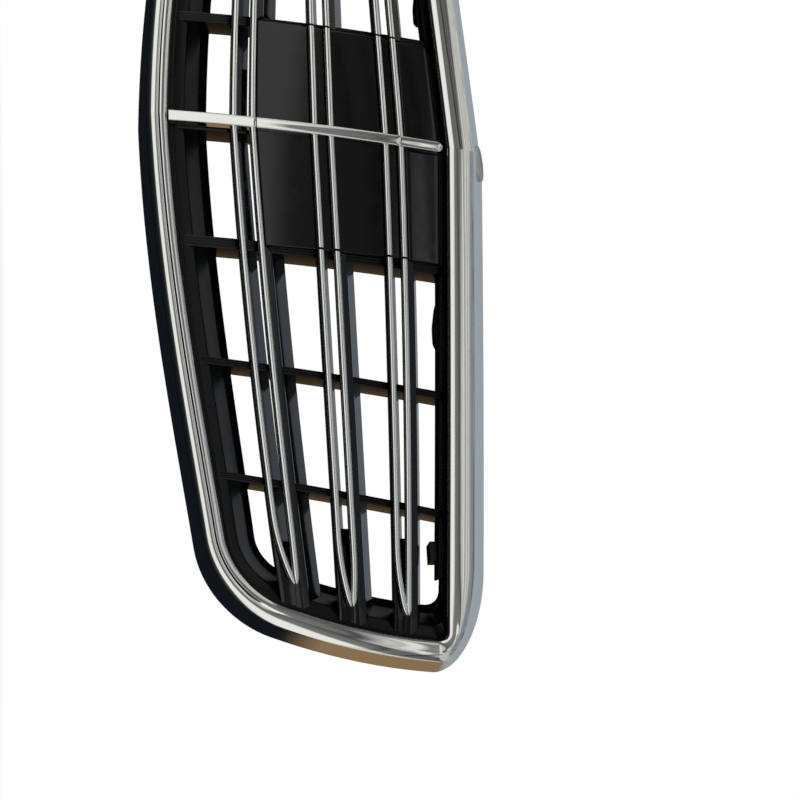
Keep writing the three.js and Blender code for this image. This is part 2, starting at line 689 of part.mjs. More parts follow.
for (const [sideName, side] of Object.entries(SIDES)) {
  for (const name of Object.keys(BLADES)) {
    const body = louvreBody(name, louvreStart(name), side);
    place(`louvre_${name}_${sideName}`, trimmed(body), 'gloss');
    place(`trim_${name}_${sideName}`, skin(louvreTrim(name, louvreStart(name), side)), 'chrome');
  }
  ribPlaces.forEach((x, i) => {
    const front = COVER_FRONT + COVER_THICK + GAP;
    const width = i ? RIB_WIDTH : FIRST_RIB_WIDTH;
    const geometry = rib(x, RIB_FAN[i], width, front, -half + 4, half - 1, side);
    place(`rib_${i + 1}_${sideName}`, geometry, 'satin');
  });
}

const ribFront = COVER_FRONT + COVER_THICK + GAP;
const ribTop = coverBottom(0) - 1.5;
place('rib_centre', rib(0, 0, CENTRE_RIB_WIDTH, ribFront, -half + 4, ribTop, 1), 'satin');

for (const name of ['middle', 'upper']) {
  for (const key of ['a', 'b']) {
    place(`cover_trim_${name}_${key}`, skin(coverTrim(name, key)), 'chrome');
  }
}

const cover = plate(coverBottom, (x) => coverSplit(x) - GAP, COVER_FRONT, COVER_THICK, COVER_HALF, 8);
place('sensor_cover', cover, 'gloss');
place('cover_top_plate', plate(coverSplit, coverTop, COVER_FRONT + 1.2, 2.2, COVER_HALF, 3), 'gloss');
place('sensor_bracket', sensorBracket(), 'rear');

const seam = bladeZ(BLADES.upper.b, 0);
const stripBack = COVER_FRONT - GAP;
const stripStart = openingBottom(0) + 1.2;
place('centre_trim_lower', centreTrim(stripStart, coverBottom(0) - GAP, LIP_DEPTH - 0.3, false), 'chrome');
place('centre_trim_cover', centreTrim(coverBottom(0), seam - GAP, stripBack, false), 'chrome');
place('centre_trim_upper', centreTrim(seam, openingTop(0) - 3.6, stripBack, true), 'chrome');

screwSpots.forEach((spot, i) => place(`screw_${i + 1}`, screw(spot), 'steel'));

// The origin is the centre of the whole grille's box.
const middle = new THREE.Box3().setFromObject(grille).getCenter(new THREE.Vector3());
grille.position.sub(middle);

export default grille;
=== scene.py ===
# %% [markdown]
# # A car's front grille, built as separate pieces
# The grille is a bright ring round a black bezel. Upright ribs and three twin louvres cross
# the opening, and a gloss cover for a distance sensor fills the middle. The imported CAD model
# gives every size. Each cell makes one piece or one finish over it, in the same place.

# %% Load the fixed CAD frame
import math

import bmesh
import bpy
from mathutils import Matrix, Vector


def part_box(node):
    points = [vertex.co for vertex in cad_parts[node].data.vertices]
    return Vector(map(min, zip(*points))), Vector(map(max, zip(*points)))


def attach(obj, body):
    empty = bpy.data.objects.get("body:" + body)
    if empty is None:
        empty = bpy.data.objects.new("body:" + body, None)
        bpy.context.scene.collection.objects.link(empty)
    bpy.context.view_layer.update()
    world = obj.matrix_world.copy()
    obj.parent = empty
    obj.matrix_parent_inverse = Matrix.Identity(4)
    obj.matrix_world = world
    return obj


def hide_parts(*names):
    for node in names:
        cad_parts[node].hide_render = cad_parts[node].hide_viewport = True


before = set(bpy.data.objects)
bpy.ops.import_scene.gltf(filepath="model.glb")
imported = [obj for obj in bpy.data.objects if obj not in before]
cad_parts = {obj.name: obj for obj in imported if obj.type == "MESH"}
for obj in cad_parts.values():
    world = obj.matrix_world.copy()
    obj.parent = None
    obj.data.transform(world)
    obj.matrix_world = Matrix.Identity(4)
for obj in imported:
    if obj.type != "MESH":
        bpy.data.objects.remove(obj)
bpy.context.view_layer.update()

# %% [markdown]
# ## The front surface
# A grille like this isn't flat. It has a fold up its centre line, it curves back to both
# ends, and it leans back towards the top. Every piece follows that one surface, so it is
# written once: a point is given by its width, its depth behind the surface and its height,
# in millimetres, and one function puts it in the scene in metres.

# %% The folded, leaning surface
MM = 0.001
OPENING_HEIGHT = 222.6
HALF = OPENING_HEIGHT / 2
OPENING_HALF_WIDTH = 385.9
PROW_SLOPE, PROW_CURVE = 0.072, 0.074
LEAN_SLOPE, LEAN_CURVE = 0.255, 0.105
FACE_TOP, FACE_BOTTOM, FACE_SIDE = 22, 16, 15.5
FLARE_TOP, FLARE_BOTTOM, FLARE_SIDE = 14.7, 5, 2
SURROUND_DEPTH = 34


def lean(x, z):
    prow = PROW_SLOPE * abs(x) + PROW_CURVE * x * x / 425
    return prow + LEAN_SLOPE * z + LEAN_CURVE * z * z / 200


# Where the opening's centre lies from the origin is measured on the strip up the fold, whose
# front and top are known from the opening's centre.
STRIP_FRONT, STRIP_SHORT = -1.6, 3.6
strip_low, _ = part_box("centre_trim_lower")
_, strip_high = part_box("centre_trim_upper")
LIFT = strip_high[2] / MM - (HALF - STRIP_SHORT)
strip_start = -HALF + 1.2
PUSH = strip_low[1] / MM - lean(0, strip_start) - STRIP_FRONT
RIB_FRONT = 9.7


def at(x, depth, z):
    return Vector((x, lean(x, z) + depth + PUSH, z + LIFT)) * MM


print("opening centre to box centre, mm:", round(PUSH, 2), round(LIFT, 2))


# %% The edges of the opening
def opening_bottom(x):
    x = abs(x)
    return -HALF + 0.029 * x + 0.151 * x**2 / 425 - 0.058 * x**4 / 425**3


def opening_top(x):
    return HALF - 0.043 * abs(x) + 0.004 * x * x / 425


def opening_side(z):
    return OPENING_HALF_WIDTH - 0.013 * (z - HALF) - 0.238 * (z - HALF) ** 2 / 200


# Each louvre has two blades: height on the centre line, slope and curve. The trim ends at the
# tip, the web is how far before it the blades join, and the climb and the rise are how far the
# lower and the upper blade go up from front to back.
BLADES = {
    "lower": {"a": (-60.9, 0.037, 0.059), "b": (-46.4, 0.038, 0.048),
              "tip": (347, -21.5), "end": 362, "web": 34, "climb": 12, "rise": 19},
    "middle": {"a": (2.3, 0.019, 0.016), "b": (15.4, 0.016, 0.013),
               "tip": (362, 21.7), "end": 374, "web": 60, "climb": 7, "rise": 15},
    "upper": {"a": (59.9, -0.005, -0.001), "b": (72.7, -0.007, -0.012),
              "tip": (367, 65.5), "end": 378, "web": 60, "climb": 7, "rise": 12},
}


def blade_height(blade, x):
    start, slope, curve = blade
    return start + slope * abs(x) + curve * x * x / 425


# %% [markdown]
# ## Camera
# The camera stands a little below the grille and towards its right end, and it is rolled by
# a quarter turn, so the grille's width runs down the picture.

# %% Camera
CAMERA_AZIMUTH, CAMERA_ELEVATION, CAMERA_ROLL = 16.97, -8.621, 0.505
CAMERA_DISTANCE = 1.550678
CAMERA_FOCUS = Vector((206.149, 42.537 + PUSH, 63.643 + LIFT)) * MM
SENSOR = 36
LENS = SENSOR * 2.53973

azimuth, elevation, roll = (math.radians(a) for a in (CAMERA_AZIMUTH, CAMERA_ELEVATION, CAMERA_ROLL))
forward = Vector((
    -math.sin(azimuth) * math.cos(elevation),
    math.cos(azimuth) * math.cos(elevation),
    -math.sin(elevation),
))
level = Vector((math.cos(azimuth), math.sin(azimuth), 0))
upward = level.cross(forward)
picture_right = math.cos(roll) * upward + math.sin(roll) * level
picture_down = math.cos(roll) * level - math.sin(roll) * upward

camera_data = bpy.data.cameras.new("camera")
camera_data.sensor_width = SENSOR
camera_data.lens = LENS
camera = bpy.data.objects.new("camera", camera_data)
bpy.context.collection.objects.link(camera)
turn = Matrix((picture_right, -picture_down, -forward)).transposed().to_4x4()
turn.translation = CAMERA_FOCUS - forward * CAMERA_DISTANCE
camera.matrix_world = turn
bpy.context.scene.camera = camera


# %% [markdown]
# ## Materials
# Plated plastic is a perfect mirror with a very slight waviness, because the plating copies
# the moulding under it. The louvres and the cover are moulded in piano black and polished.
# The bezel and ribs are a satin black with a fine spark-eroded grain.

# %% One helper for colours and one for nodes
def linear(hex_colour):
    """Turns an sRGB hex colour into the linear numbers that a shader needs."""
    parts = [int(hex_colour[i:i + 2], 16) / 255 for i in (1, 3, 5)]
    return [c / 12.92 if c <= 0.04045 else ((c + 0.055) / 1.055) ** 2.4 for c in parts] + [1]


def add(tree, kind, links=None, **settings):
    """Adds one node, sets its sockets or properties by name, and links its inputs."""
    node = tree.nodes.new(kind)
    for name, value in settings.items():
        label = name.replace("_", " ")
        if label in node.inputs:
            node.inputs[label].default_value = value
        else:
            setattr(node, name, value)
    for name, source in (links or {}).items():
        tree.links.new(source, node.inputs[name])
    return node


def surface(name, colour, **settings):
    """Starts a material: a Principled shader with uniform values on its own sockets."""
    material = bpy.data.materials.new(name)
    material.use_nodes = True
    tree = material.node_tree
    shader = tree.nodes["Principled BSDF"]
    shader.inputs["Base Color"].default_value = linear(colour)
    for key, value in settings.items():
        shader.inputs[key.replace("_", " ")].default_value = value
    place = add(tree, "ShaderNodeTexCoord").outputs["Object"]
    return material, tree, shader, place


def per_metre(size_mm):
    """The noise scale at which one blotch is about size_mm across."""
    return 1 / (size_mm * MM)


# %% Bright chrome plating
def chrome_plating():
    # Decorative chromium over polished plastic: a clear mirror, with long soft waves.
    material, tree, shader, place = surface("chrome_plated_plastic", "#F0F0EC", Metallic=1, Roughness=0.045)
    waves = add(tree, "ShaderNodeTexNoise", {"Vector": place}, Scale=per_metre(60), Detail=2)
    film = add(tree, "ShaderNodeTexNoise", {"Vector": place}, Scale=per_metre(9), Detail=5, Roughness=0.6)
    haze = add(tree, "ShaderNodeMapRange", {"Value": film.outputs["Fac"]},
               From_Min=0.45, From_Max=0.8, To_Min=0.04, To_Max=0.085)
    tree.links.new(haze.outputs["Result"], shader.inputs["Roughness"])
    bump = add(tree, "ShaderNodeBump", {"Height": waves.outputs["Fac"]}, Strength=0.04, Distance=0.002)
    tree.links.new(bump.outputs["Normal"], shader.inputs["Normal"])
    return material


# %% Piano-black gloss
def piano_black():
    # Polished black acrylic-faced plastic: deep black with a clear coat, a little dust.
    material, tree, shader, place = surface("piano_black_plastic", "#08090A", Roughness=0.09, Coat_Weight=0.25,
                                            Coat_Roughness=0.03, Specular_IOR_Level=0.35)
    film = add(tree, "ShaderNodeTexNoise", {"Vector": place}, Scale=per_metre(14), Detail=6, Roughness=0.65)
    haze = add(tree, "ShaderNodeMapRange", {"Value": film.outputs["Fac"]},
               From_Min=0.45, From_Max=0.75, To_Min=0.07, To_Max=0.17)
    tree.links.new(haze.outputs["Result"], shader.inputs["Roughness"])
    specks = add(tree, "ShaderNodeTexVoronoi", {"Vector": place}, Scale=per_metre(7))
    dust = add(tree, "ShaderNodeMapRange", {"Value": specks.outputs["Distance"]},
               From_Min=0.02, From_Max=0.035, To_Min=1, To_Max=0)
    mix = add(tree, "ShaderNodeMixRGB", {"Fac": dust.outputs["Result"]},
              Color1=linear("#060708"), Color2=linear("#4A4C4E"))
    tree.links.new(mix.outputs["Color"], shader.inputs["Base Color"])
    return material


# %% Satin moulded black
def moulded_plastic(name, colour, roughness, grain_mm=0.9):
    # Injection-moulded plastic from an eroded tool: a fine even grain that softens the shine.
    material, tree, shader, place = surface(name, colour, Roughness=roughness, Specular_IOR_Level=0.25)
    grain = add(tree, "ShaderNodeTexNoise", {"Vector": place}, Scale=per_metre(grain_mm), Detail=3)
    patches = add(tree, "ShaderNodeTexNoise", {"Vector": place}, Scale=per_metre(30), Detail=4)
    shine = add(tree, "ShaderNodeMapRange", {"Value": patches.outputs["Fac"]},
                From_Min=0.3, From_Max=0.7, To_Min=roughness - 0.07, To_Max=roughness + 0.08)
    tree.links.new(shine.outputs["Result"], shader.inputs["Roughness"])
    bump = add(tree, "ShaderNodeBump", {"Height": grain.outputs["Fac"]}, Strength=0.12, Distance=0.0003)
    tree.links.new(bump.outputs["Normal"], shader.inputs["Normal"])
    return material


CHROME = chrome_plating()
GLOSS = piano_black()
SATIN = moulded_plastic("satin_black_plastic", "#040505", 0.24)
REAR = moulded_plastic("dusty_rear_plastic", "#2B2420", 0.55, 1.4)
ZINC = surface("zinc_plated_steel", "#A9ABAC", Metallic=1, Roughness=0.33)[0]
BLANK = surface("satin_nickel_disc", "#C4C6C8", Metallic=1, Roughness=0.42)[0]


# %% [markdown]
# ## Making a long piece
# Nearly every piece here is one outline carried along a path. So the helper draws the
# outline once, extrudes its edges for each next place on the path and moves the new edges
# there. Corners of an outline are eased first, since moulded plastic has no sharp edge and
# only an eased edge catches a highlight.

# %% Helpers that ease, sweep and finish
def spread(start, stop, steps):
    return [start + (stop - start) * i / steps for i in range(steps + 1)]


def eased(outline, reach=0.6, steps=3, closed=True):
    """Replaces each corner of an outline with a short curve."""
    made = []
    for i, corner in enumerate(outline):
        corner = Vector(corner)
        before = Vector(outline[i - 1])
        after = Vector(outline[(i + 1) % len(outline)])
        r = reach[i] if isinstance(reach, (list, tuple)) else reach
        p = corner + (before - corner) * min(0.45, r / max((before - corner).length, 1e-6))
        q = corner + (after - corner) * min(0.45, r / max((after - corner).length, 1e-6))
        for t in spread(0, 1, steps):
            made.append(p * (1 - t) ** 2 + corner * 2 * t * (1 - t) + q * t * t)
    return made


def sweep(rings, closed=False):
    """Extrudes the first ring's edges through all the others, and caps an open sweep."""
    bm = bmesh.new()
    ring = [bm.verts.new(p) for p in rings[0]]
    edges = [bm.edges.new((a, b)) for a, b in zip(ring, ring[1:] + ring[:1])]
    start = list(edges)
    for places in rings[1:] + (rings[:1] if closed else []):
        made = bmesh.ops.extrude_edge_only(bm, edges=edges)["geom"]
        fresh = {v for v in made if isinstance(v, bmesh.types.BMVert)}
        ring = [next(e.other_vert(v) for e in v.link_edges if e.other_vert(v) in fresh) for v in ring]
        for vert, place in zip(ring, places):
            vert.co = place
        edges = [bm.edges.get((a, b)) for a, b in zip(ring, ring[1:] + ring[:1])]
    if closed:
        bmesh.ops.remove_doubles(bm, verts=bm.verts, dist=1e-7)
    else:
        bmesh.ops.edgeloop_fill(bm, edges=start)
        bmesh.ops.edgeloop_fill(bm, edges=edges)
    bmesh.ops.recalc_face_normals(bm, faces=bm.faces)
    return bm


def crease_centre(bm):
    """Keeps the fold up the centre line crisp."""
    for edge in bm.edges:
        if all(abs(v.co.x) < 1e-6 for v in edge.verts):
            edge.smooth = False


def finish(bm, name, material, replaces=(), sharp=34):
    """Turns the bmesh into a piece that rides on the grille's one body."""
    open_edges = sum(len(edge.link_faces) != 2 for edge in bm.edges)
    if not bm.faces or open_edges:
        raise ValueError(f"{name} has {len(bm.faces)} faces and {open_edges} open edges")
    mesh = bpy.data.meshes.new(name)
    for face in bm.faces:
        face.smooth = True
    crease_centre(bm)
    for edge in bm.edges:
        if len(edge.link_faces) == 2 and edge.calc_face_angle(0) > math.radians(sharp):
            edge.smooth = False
    bm.to_mesh(mesh)
    bm.free()
    piece = bpy.data.objects.new(name, mesh)
    bpy.context.collection.objects.link(piece)
    mesh.materials.append(material)
    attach(piece, "root")
    if replaces:
        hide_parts(*replaces)
    print(f"{name}: {len(mesh.polygons)} faces")
    return piece


def mirrored(bm):
    """A copy of a right-hand piece for the left-hand side."""
    copy = bm.copy()
    bmesh.ops.scale(copy, vec=(-1, 1, 1), verts=copy.verts)
    bmesh.ops.reverse_faces(copy, faces=copy.faces)
    return copy


def combine(bm, tool, operation):
    """Joins a bmesh with another, or cuts it, and gives back the result."""
    objects = []
    for source in (bm, tool):
        mesh = bpy.data.meshes.new("working")
        source.to_mesh(mesh)
        thing = bpy.data.objects.new("working", mesh)
        bpy.context.collection.objects.link(thing)
        objects.append(thing)
    cut = objects[0].modifiers.new("cut", "BOOLEAN")
    cut.operation = operation
    cut.solver = "EXACT"
    cut.object = objects[1]
    graph = bpy.context.evaluated_depsgraph_get()
    result = bmesh.new()
    result.from_mesh(objects[0].evaluated_get(graph).to_mesh())
    for thing in objects:
        mesh = thing.data
        bpy.data.objects.remove(thing)
        bpy.data.meshes.remove(mesh)
    bmesh.ops.remove_doubles(result, verts=result.verts, dist=1e-6)
    return result


# %% [markdown]
# ## The two contours
# The ring follows the edge of the opening. The bezel's shelf runs from that edge in to a
# smaller mouth. Both contours have the same number of points, so a point on the shelf can
# be given as a share of the way from one to the other.

# %% The edge of the opening, and the bezel's mouth
COUNTS = (64, 18, 30, 14, 64)


def contour(bottom, side, top, low_leg, high_leg):
    def meet(edge, z):
        for _ in range(60):
            z = edge(side(z))
        return side(z), z

    def corner(start, stop, control, steps):
        points = []
        for t in spread(0, 1, steps)[1:]:
            s = 1 - t
            points.append(tuple(
                s**3 * p + 3 * s * s * t * (p + 0.6 * (c - p)) + 3 * s * t * t * (q + 0.6 * (c - q)) + t**3 * q
                for p, q, c in zip(start, stop, control)
            ))
        return points

    low, high = meet(bottom, -HALF * 0.6), meet(top, HALF * 0.85)
    low_start, low_end = low[0] - low_leg * 0.94, low[1] + low_leg * 0.95
    high_start, high_end = high[1] - high_leg, high[0] - high_leg
    points = [(x, bottom(x)) for x in spread(0, low_start, COUNTS[0])]
    points += corner((low_start, bottom(low_start)), (side(low_end), low_end), low, COUNTS[1])
    points += [(side(z), z) for z in spread(low_end, high_start, COUNTS[2])[1:]]
    points += corner((side(high_start), high_start), (high_end, top(high_end)), high, COUNTS[3])
    points += [(x, top(x)) for x in spread(high_end, 0, COUNTS[4])[1:]]
    return points + [(-x, z) for x, z in points[-2:0:-1]]


def outward(points):
    around = zip(points, points[-1:] + points[:-1], points[1:] + points[:1])
    return [Vector((b[1] - a[1], a[0] - b[0])).normalized() for _, a, b in around]


EDGE = contour(opening_bottom, opening_side, opening_top, 38, 7)
OUT = outward(EDGE)
SHELF_BOTTOM, SHELF_SIDE, SHELF_TOP, SHELF_EASE = 31, 32, 2, 5
MOUTH = contour(
    lambda x: opening_bottom(x) + SHELF_BOTTOM - SHELF_EASE * (x / 300) ** 2,
    lambda z: opening_side(z) - SHELF_SIDE,
    lambda x: opening_top(x) - SHELF_TOP,
    20,
    13,
)


def around(profile):
    """Rings of places: profile gives [share of the way in, distance out, depth] at each point."""
    rings = []
    for (x, z), (u, v), n in zip(EDGE, MOUTH, OUT):
        rings.append([
            at(x + (u - x) * share + n.x * out, depth, z + (v - z) * share + n.y * out)
            for share, out, depth in profile(n, x, z)
        ])
    return rings


def blend(n, side, top, bottom):
    return side * n.x**2 + (top if n.y > 0 else bottom) * n.y**2


# The upper corners of the ring's outer wall are part of an ellipse.
CORNER_REACH, CORNER_RISE = 80, 45


def ring_widths(n, x, z):
    """How wide the ring's face is at a point, and how far its outer wall flares."""
    face = blend(n, FACE_SIDE, FACE_TOP, FACE_BOTTOM)
    flare = blend(n, FLARE_SIDE, FLARE_TOP, FLARE_BOTTOM)
    total, across = face + flare, abs(n.x)
    px = abs(x) - (OPENING_HALF_WIDTH + FACE_SIDE + FLARE_SIDE - CORNER_REACH)
    pz = z - (opening_top(x) + FACE_TOP + FLARE_TOP - CORNER_RISE)
    if n.y < 0 or px + across * total <= 0 or pz + n.y * total <= 0:
        return face, flare
    a = (across / CORNER_REACH) ** 2 + (n.y / CORNER_RISE) ** 2
    b = 2 * (px * across / CORNER_REACH**2 + pz * n.y / CORNER_RISE**2)
    c = (px / CORNER_REACH) ** 2 + (pz / CORNER_RISE) ** 2 - 1
    share = min(1, (-b + math.sqrt(max(0, b * b - 4 * a * c))) / (2 * a) / total)
    return face * share, flare * share


print("points round the opening:", len(EDGE))

# %% [markdown]
# ## The bright surround
# One plated moulding. Its face is gently crowned, with a fine groove near the inner edge
# along the bottom, and its outer wall flares back to meet the bonnet and bumper.

# %% Surround
WALL = 2.5


def flowing(points, steps=5):
    """A smooth line through all the points (a Catmull-Rom curve)."""
    points = [Vector(p) for p in points]
    padded = [points[0] * 2 - points[1]] + points + [points[-1] * 2 - points[-2]]
    line = [points[0]]
    for a, b, c, d in zip(padded, padded[1:], padded[2:], padded[3:]):
        for t in spread(0, 1, steps)[1:]:
            line.append(((b * 2) + (c - a) * t + (a * 2 - b * 5 + c * 4 - d) * t * t
                         + (b * 3 - a - c * 3 + d) * t**3) / 2)
    return line


def surround_profile(n, x, z):
    w, f = ring_widths(n, x, z)
    groove = min(1, max(0, (-0.2 - n.y) / 0.5))
    front = flowing([
        (0, 1.8), (0.2, 0.8), (1, 0), (2.4, -0.75), (4.2, -1.2), (7.5, -1.75), (max(8, w * 0.66), -2.2),
        (w - 2.4, -1.8), (w + 0.02 * f, -0.6), (w + 0.18 * f, 2), (w + 0.3 * f, 6), (w + 0.6 * f, 18),
        (w + f, SURROUND_DEPTH),
    ])
    for p in front:
        p.y += 1.5 * groove * math.exp(-(((p.x - 6.6) / 0.7) ** 2))
    back = [
        (w + f - WALL, SURROUND_DEPTH), (w - WALL + 0.4 + 0.55 * f, 18), (w - WALL + 0.4 + 0.16 * f, 6),
        (w - 3.4, 2), (7.6, 2.6), (2.6, 3.6), (2.6, 8), (0, 8),
    ]
    return [(0, p.x, p.y) for p in front] + [(0, out, depth) for out, depth in back]


surround = sweep(around(surround_profile), closed=True)

# %% Badge disc on the top wall, in its round recess
BADGE_RADIUS, BADGE_SINK, BADGE_DEPTH = 14.5, 0.9, 19
badge_z = HALF + FACE_TOP + FLARE_TOP * (0.16 + 0.39 * (BADGE_DEPTH - 6) / 12)
rise = math.atan2(
    FLARE_TOP * 0.84,
    lean(0, HALF + FACE_TOP + FLARE_TOP) + SURROUND_DEPTH - lean(0, HALF + FACE_TOP) - 6,
)
badge_place = Matrix.Translation(at(0, BADGE_DEPTH, badge_z)) @ Matrix.Rotation(rise, 4, "X")


def turned(profile, steps=96):
    """Spins a profile of (radius, height) in millimetres right round the upright axis."""
    bm = bmesh.new()
    verts = [bm.verts.new((r * MM, 0, h * MM)) for r, h in profile]
    edges = [bm.edges.new(pair) for pair in zip(verts, verts[1:])]
    bmesh.ops.spin(bm, geom=verts + edges, cent=(0, 0, 0), axis=(0, 0, 1), angle=math.tau, steps=steps,
                   use_merge=True)
    bmesh.ops.remove_doubles(bm, verts=bm.verts, dist=1e-7)
    bmesh.ops.recalc_face_normals(bm, faces=bm.faces)
    return bm


recess = turned([(0, -BADGE_SINK - 0.4), (BADGE_RADIUS + 0.4, -BADGE_SINK - 0.4), (BADGE_RADIUS + 0.4, 9), (0, 9)])
bmesh.ops.transform(recess, matrix=badge_place, verts=recess.verts)
surround = combine(surround, recess, "DIFFERENCE")
finish(surround, "surround_ring", CHROME, ["chrome_surround"])

badge = turned([
    (0, -BADGE_SINK), (BADGE_RADIUS, -BADGE_SINK), (BADGE_RADIUS, 0.8), (14.2, 1.5), (13.5, 1.9),
    (12.6, 1.9), (11.8, 1.5), (11.3, 0.9), (10.8, 0.7), (6, 0.95), (0, 1.1),
])
bmesh.ops.transform(badge, matrix=badge_place, verts=badge.verts)
finish(badge, "badge_blank", BLANK, ["badge_disc"])

# %% [markdown]
# ## The black bezel
# The bezel is one satin moulding. A ledge runs just inside the ring with a fine raised bead,
# a gloss-looking slope goes down into the openings, and a web behind the ring takes the screws.

# %% Bezel
WEB_FRONT, SHELF_DEPTH, GAP, LIP_DEPTH = 14.8, 31, 0.4, 8


def bezel_profile(n, x, z):
    web = ring_widths(n, x, z)[0] - WALL + GAP / 2
    back = WEB_FRONT + WALL
    start = LIP_DEPTH + GAP
    return [
        (0, web, WEB_FRONT), (0, 1.6, WEB_FRONT), (0, 1.2, WEB_FRONT - 0.4), (0, 1.2, start),
        (0, -1, start), (0.08, 0, 8.9), (0.1, 0, 8.3), (0.112, 0, 8.1), (0.13, 0, 8.15), (0.142, 0, 8.6),
        (0.15, 0, 9.5), (0.2, 0, 9.9), (0.38, 0, 11.5), (0.41, 0, 11.9), (0.43, 0, 12.6), (0.46, 0, 13.8),
        (0.77, 0, 26), (0.8, 0, 27), (0.84, 0, 27.6), (0.97, 0, 28.8), (0.99, 0, 29), (1, 0, 29.5),
        (1, 0, SHELF_DEPTH + 1), (1, 0.5, SHELF_DEPTH + 1.5), (1, 3, SHELF_DEPTH + 1.5), (0.42, 3, back), (0, web, back),
    ]


finish(sweep(around(bezel_profile), closed=True), "bezel_moulding", SATIN, ["inner_bezel"])


def behind_bezel():
    """Everything behind the bezel's front, which trims the pieces that meet it."""
    return sweep(around(lambda n, x, z: [
        (0, 20, -20), (0, -1.1, -20), (0, -1.2, 8), (0.17, 0, 9.6), (0.42, 0, 12.4), (0.77, 0, 26.2),
        (1, 0, 29.2), (1, 0, 60), (0, 20, 60),
    ]), closed=True)


# %% [markdown]
# ## Louvres
# Each louvre has two blades that rise towards the back. The upper one has a flat land beside
# its strip. They run to the bezel, and a web joins them behind the strips' tip. The blades are
# straight-through sweeps, joined and then trimmed by the bezel's slope.

# %% Louvre bodies
TRIM_WIDTH, TRIM_FRONT, TRIM_BACK = 5.2, 2.3, 5.5
COVER_HALF = 94
BODY_HALF, BODY_FRONT, BODY_DEPTH = TRIM_WIDTH / 2 - 0.3, TRIM_BACK + GAP, 24
LAND, END_DROP = 5.5, 3.2
SIDES = {"right": 1, "left": -1}


def smoothstep(t):
    t = min(1, max(0, t))
    return t * t * (3 - 2 * t)


def blade_outline(blade, key, x):
    """A blade's section at x, as (height above its line, depth)."""
    w, front = BODY_HALF, BODY_FRONT
    tip, end = blade["tip"][0], blade["end"]
    sink = END_DROP * max(0, (x - tip) / (end - tip))
    if key == "a":
        rise, corners = blade["climb"], [(w, front + sink), (w + 0.1, 9.7)]
        under = 22
    else:
        rise, under = blade["rise"], 13
        land = LAND * smoothstep((x - 95) / 4) if blade is BLADES["lower"] else LAND
        corners = [(w, front + sink), (w + land, front + 1.6 * land / LAND + sink),
                   (w + 0.1 + land * 1.08, front + 3.4 + sink * 0.6)]
    outline = [(-w, front + sink)] + corners + [(rise, BODY_DEPTH - 2), (rise, BODY_DEPTH),
                                                (rise - 3.4, BODY_DEPTH), (-w, under)]
    ease = [0.45] + [0.5] * len(corners) + [0.5, 0.5, 0.5, 1]
    return eased(outline, ease, 3)


def louvre_body(name, start):
    blade = BLADES[name]
    tip, end = blade["tip"][0], blade["end"]
    places = spread(start, tip, 70) + spread(tip, end + 2, 6)[1:]
    bars = []
    for key in ("a", "b"):
        bars.append(sweep([
            [at(x, d, blade_height(blade[key], x) + w) for w, d in blade_outline(blade, key, x)]
            for x in places
        ]))
    rings = []
    for x in spread(tip - blade["web"], end + 1.6, 24):
        sink = END_DROP * max(0, (x - tip) / (end - tip))
        low, high = blade_height(blade["a"], x), blade_height(blade["b"], x)
        hollow = 2.6 * smoothstep((tip - 14 - x) / 26) + 8 * smoothstep((tip - blade["web"] + 14 - x) / 14)
        front = BODY_FRONT + 0.5 + sink + hollow
        rings.append([at(x, front, low), at(x, front + 0.3, (low + high) / 2), at(x, front, high),
                      at(x, 21, high), at(x, 21, low)])
    body = combine(combine(bars[0], bars[1], "UNION"), sweep(rings), "UNION")
    return body


# %% Louvre trims: two strips that meet in a pointed tip
def strip_line(blade, key):
    tip_x, tip_z = blade["tip"]
    reach, offset = (52, -0.9) if key == "a" else (40, 0.9)

    def line(x):
        s = max(0, (abs(x) - tip_x + reach) / reach)
        pull = tip_z + offset - blade_height(blade[key], tip_x)
        return blade_height(blade[key], x) + pull * s * s

    return line


# A strip's face is domed, nearly flat in the middle and steep at its edges.
STRIP = flowing([
    (-TRIM_WIDTH / 2, TRIM_BACK), (-TRIM_WIDTH / 2, TRIM_FRONT + 1.6), (-2.2, TRIM_FRONT + 0.7),
    (-1.2, TRIM_FRONT + 0.16), (0, TRIM_FRONT), (1.2, TRIM_FRONT + 0.16), (2.2, TRIM_FRONT + 0.7),
    (TRIM_WIDTH / 2, TRIM_FRONT + 1.6), (TRIM_WIDTH / 2, TRIM_BACK),
], 3)


def louvre_trim(name, start):
    blade = BLADES[name]
    tip = blade["tip"][0]
    strips = []
    for key in ("a", "b"):
        line = strip_line(blade, key)
        rings = []
        for x in spread(start, tip - 52, 50) + spread(tip - 52, tip, 40)[1:]:
            t = max(0, (x - tip + 7) / 7)
            narrow = max(0.12, math.sqrt(max(0, 1 - t * t)))
            rings.append([at(x, d + (1 - narrow) * 1.2, line(x) + w * narrow) for w, d in STRIP])
        strips.append(sweep(rings))
    return combine(strips[0], strips[1], "UNION")


trimmer = behind_bezel()
bodies = []
for name in BLADES:
    start = 0.2 if name == "lower" else COVER_HALF + 1.2
    body = combine(louvre_body(name, start), trimmer, "DIFFERENCE")
    bodies.append(body)
    trim = louvre_trim(name, start)
    for side, sign in SIDES.items():
        piece, strip = (body, trim) if sign > 0 else (mirrored(body), mirrored(trim))
        node = f"{name}_{side}"
        finish(piece.copy(), f"louvre_body_{node}", GLOSS, [f"louvre_{node}"])
        finish(strip.copy(), f"louvre_strip_{node}", CHROME, [f"trim_{node}"])

# %% [markdown]
# ## Ribs
# Upright ribs tie the louvres to the bezel. Each has three fine grooves down its front, which
# soften its look from the road.

# %% Ribs
RIB_BACK = 30


